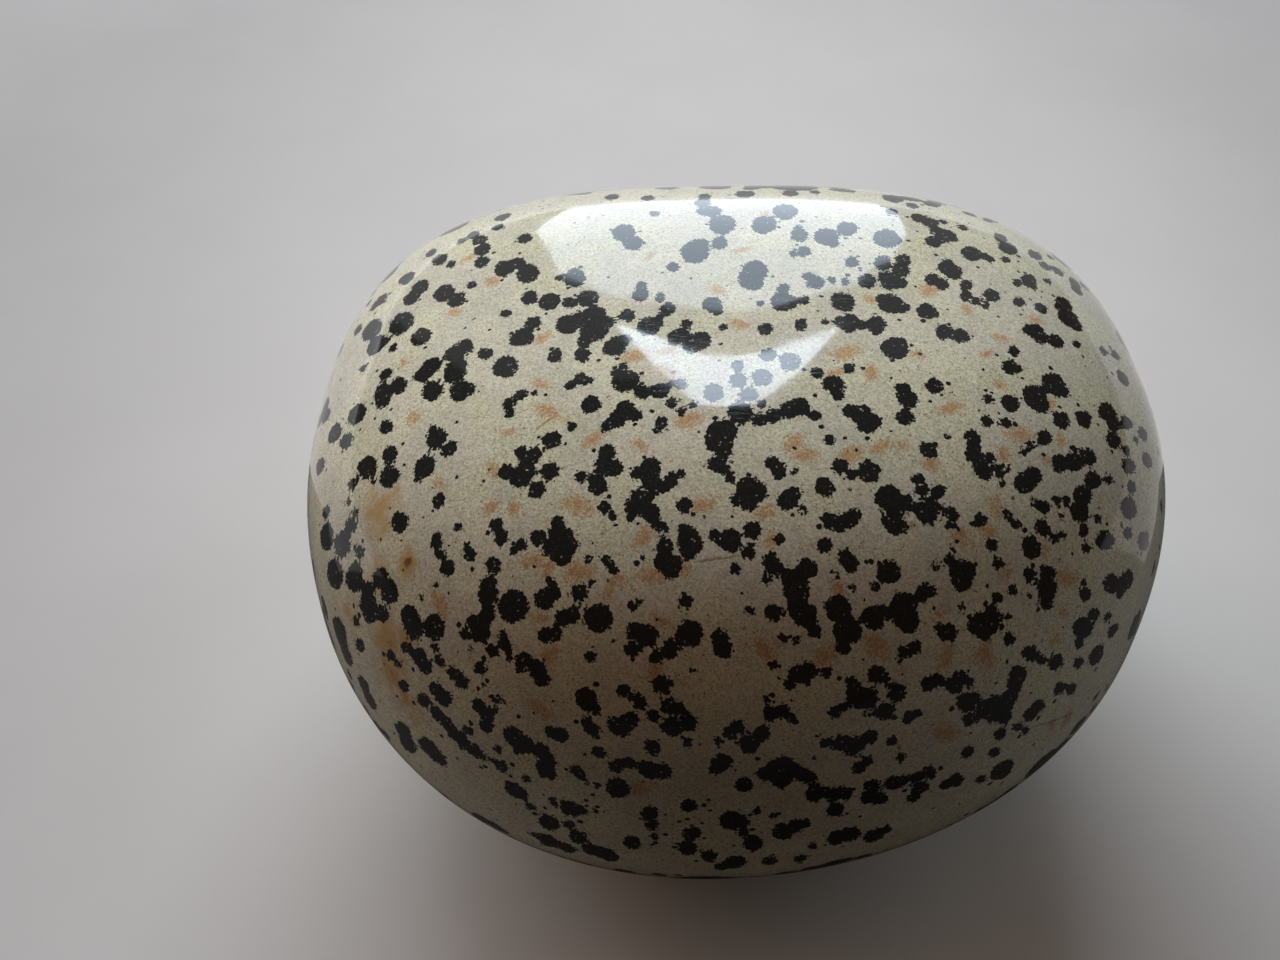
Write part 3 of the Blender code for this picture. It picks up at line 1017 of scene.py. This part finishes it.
def glowing_glass(name, colour, glow):
    """A window pane that gives an even light."""
    material, _ = new_material(name, {
        "Base Color": (0, 0, 0, 1), "Specular IOR Level": 0,
        "Emission Color": opaque(colour), "Emission Strength": glow})
    return material


def painted_shade_material(name, colour):
    """Dark dull material for a sheet of painted shade, which puts dark reflections in the polish."""
    material, _ = new_material(name, {"Base Color": opaque(colour), "Specular IOR Level": 0})
    return material


def aimed_light(name, place, target, width, height, power, colour):
    """An area light at a place, turned to a target."""
    data = bpy.data.lights.new(name, "AREA")
    data.shape = "RECTANGLE"
    data.size = width
    data.size_y = height
    data.energy = power
    data.color = colour
    light = bpy.data.objects.new(name, data)
    light.location = place
    light.rotation_euler = (Vector(target) - Vector(place)).to_track_quat("-Z", "Y").to_euler()
    bpy.context.collection.objects.link(light)
    return light


class STONE_OT_make_stone(bpy.types.Operator):
    """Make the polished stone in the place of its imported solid"""

    bl_idname = "stone.make_stone"
    bl_label = "Make Stone"

    def execute(self, context):
        shape = context.scene.stone_shape
        finish = context.scene.stone_finish
        view = PhotoView(context.scene.stage_look)
        rng = np.random.default_rng(finish.seed)
        mesh, points = stone_mesh(shape)
        tree = point_tree(points)

        marked, marked_radii = marked_blotches(view, shape)
        hidden, hidden_radii = hidden_blotches(view, shape, finish, rng)
        middles = np.vstack([marked, hidden])
        radii = np.concatenate([marked_radii, hidden_radii])
        dots, dot_radii = small_dots(middles, radii, view, shape, finish, rng)
        middles = np.vstack([middles, dots])
        radii = np.concatenate([radii, dot_radii])
        runs, stretches = slanted_runs(marked, view, shape)
        runs = np.vstack([runs, tangent_steps(middles[len(marked):], rng)])
        stretches = np.concatenate([stretches, np.ones(len(middles) - len(marked))])
        depth = blotch_field(points, tree, middles, radii, runs, stretches, rng)
        put_field(mesh, "blotch_depth", depth)
        put_field(mesh, "fleck", fleck_field(points, tree, view, shape, rng))
        put_field(mesh, "stain", stain_field(points, view, shape))
        across, strength = hairline_fields(points, view, shape)
        put_field(mesh, "hairline_across", across)
        put_field(mesh, "hairline", strength)

        share, shift = into_frame(points)
        mesh.vertices.foreach_set("co", (points * share + shift).astype(np.float32).ravel())
        mesh.update()
        mesh.materials.append(polished_stone(finish))
        stone = bpy.data.objects.new("polished_stone", mesh)
        context.collection.objects.link(stone)
        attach(stone, "root")
        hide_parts(STONE_NODE)
        return {"FINISHED"}


class STONE_OT_make_stage(bpy.types.Operator):
    """Make the floor, the window light and the camera"""

    bl_idname = "stone.make_stage"
    bl_label = "Make Stage"

    def execute(self, context):
        scene = context.scene
        look = scene.stage_look
        view = PhotoView(look)
        middle = girdle_middle(scene.stone_shape)
        self.make_floor(look)
        self.make_world(scene, look)
        self.make_lights(look)
        self.make_window(look, view, scene.stone_shape, middle)
        self.make_painted_shade_sheet()
        self.make_camera(scene, view, middle)
        scene.view_settings.view_transform = "Standard"
        return {"FINISHED"}

    def make_floor(self, look):
        reach = FLOOR_REACH
        corners = ((-reach, -reach, 0), (reach, -reach, 0), (reach, reach, 0), (-reach, reach, 0))
        flat_sheet("floor", corners, floor_paper(look))

    def make_world(self, scene, look):
        """A dim warm room, and a pale plain backdrop for the camera alone."""
        backdrop = (0.42, 0.42, 0.43, 1.0)
        world = bpy.data.worlds.new("room")
        world.use_nodes = True
        tree = world.node_tree
        path = node(tree, "ShaderNodeLightPath")
        colour = tint(tree, path.outputs["Is Camera Ray"], opaque(look.fill_colour), backdrop)
        wire(tree, colour, tree.nodes["Background"].inputs["Color"])
        scene.world = world

    def make_lights(self, look):
        # Broad lights shape the stone; they don't show in the polish
        daylight, lamplight = (0.94, 0.98, 1.0), (1.0, 0.60, 0.42)
        stone_middle, light_width, light_height = (0, 0, 0.02), 1.1, 0.8
        for name, place, power, colour in (
                ("sky", (-0.15, 1.15, 0.65), look.sky_power, daylight),
                ("side", (-0.95, 1.00, 0.60), look.side_power, daylight),
                ("ceiling", (0.00, 0.15, 1.40), look.ceiling_power, lamplight),
                ("lamp", (-1.05, 0.35, 0.62), look.lamp_power, lamplight),
                ("doorway", (1.05, 0.30, 0.62), look.doorway_power, daylight)):
            light = aimed_light(
                name, place, stone_middle, light_width, light_height, power, colour)
            light.visible_glossy = False
        # The lit wall round the window shows in the polish alone
        wide, high, distance = 2.2, 1.5, 1.5
        wall = aimed_light(
            "wall", (0, distance, high / 2), (0, 0, high / 2), wide, high,
            look.wall_power * wide * high, daylight)
        wall.visible_diffuse = False

    def make_window(self, look, view, shape, middle):
        """Two panes of a window, which show in the polish alone, as the photograph shows them."""
        for name, outline, glow in (
                ("lower_pane", LOWER_PANE, look.lower_glow),
                ("upper_pane", UPPER_PANE, look.upper_glow)):
            corners = mirrored_corners(outline, view, shape, look.window_distance) + middle
            show_in_polish_alone(
                flat_sheet(name, corners, glowing_glass(name, look.glass_colour, glow)))

    def make_painted_shade_sheet(self):
        """A dark sheet of painted shade before the stone, partly under it, which shows in the polish
        alone as a painted dark reflection.
        """
        reach, lift, back_edge = FLOOR_REACH, 0.0005, 0.005
        # Under the stone the sheet of painted shade runs on towards the back as a tongue
        tongue_end, tongue_right = 0.03, 0.085
        tongue_left, left_root = -0.11, -0.10
        outline = (
            (-reach, -reach), (reach, -reach), (reach, back_edge), (tongue_right, back_edge),
            (tongue_right, tongue_end), (tongue_left, tongue_end), (left_root, back_edge),
            (-reach, back_edge))
        corners = [(x, y, lift) for x, y in outline]
        show_in_polish_alone(
            flat_sheet("painted_shade_sheet", corners, painted_shade_material("painted_shade_reflection", (0.10, 0.098, 0.098))))

    def make_camera(self, scene, view, middle):
        data = bpy.data.cameras.new("photo_view")
        data.sensor_width = 36
        data.lens = data.sensor_width * PHOTO_FOCAL / PHOTO_WIDTH
        data.clip_start = 0.01
        camera = bpy.data.objects.new("photo_view", data)
        turn = Matrix((view.right, view.up, view.back)).transposed()
        camera.matrix_world = Matrix.Translation(Vector(view.eye + middle)) @ turn.to_4x4()
        bpy.context.collection.objects.link(camera)
        scene.camera = camera


class STONE_PT_panel(bpy.types.Panel):
    """Buttons that make the stone and its stage"""

    bl_idname = "STONE_PT_panel"
    bl_label = "Dalmatian Stone"
    bl_space_type = "VIEW_3D"
    bl_region_type = "UI"
    bl_category = "Stone"

    def draw(self, context):
        for operator in (STONE_OT_make_stone, STONE_OT_make_stage):
            self.layout.operator(operator.bl_idname)
        for group in (
                context.scene.stone_shape, context.scene.stone_finish, context.scene.stage_look):
            box = self.layout.box()
            for name in group.bl_rna.properties.keys():
                if name not in ("name", "rna_type"):
                    box.prop(group, name)


CLASSES = (
    StoneShape, StoneFinish, StageLook,
    STONE_OT_make_stone, STONE_OT_make_stage, STONE_PT_panel,
)


def register():
    for each in CLASSES:
        bpy.utils.register_class(each)
    bpy.types.Scene.stone_shape = PointerProperty(type=StoneShape)
    bpy.types.Scene.stone_finish = PointerProperty(type=StoneFinish)
    bpy.types.Scene.stage_look = PointerProperty(type=StageLook)


def unregister():
    del bpy.types.Scene.stage_look
    del bpy.types.Scene.stone_finish
    del bpy.types.Scene.stone_shape
    for each in reversed(CLASSES):
        bpy.utils.unregister_class(each)


def main():
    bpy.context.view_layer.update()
    register()
    bpy.ops.stone.make_stone()
    bpy.ops.stone.make_stage()


if __name__ == "__main__":
    main()
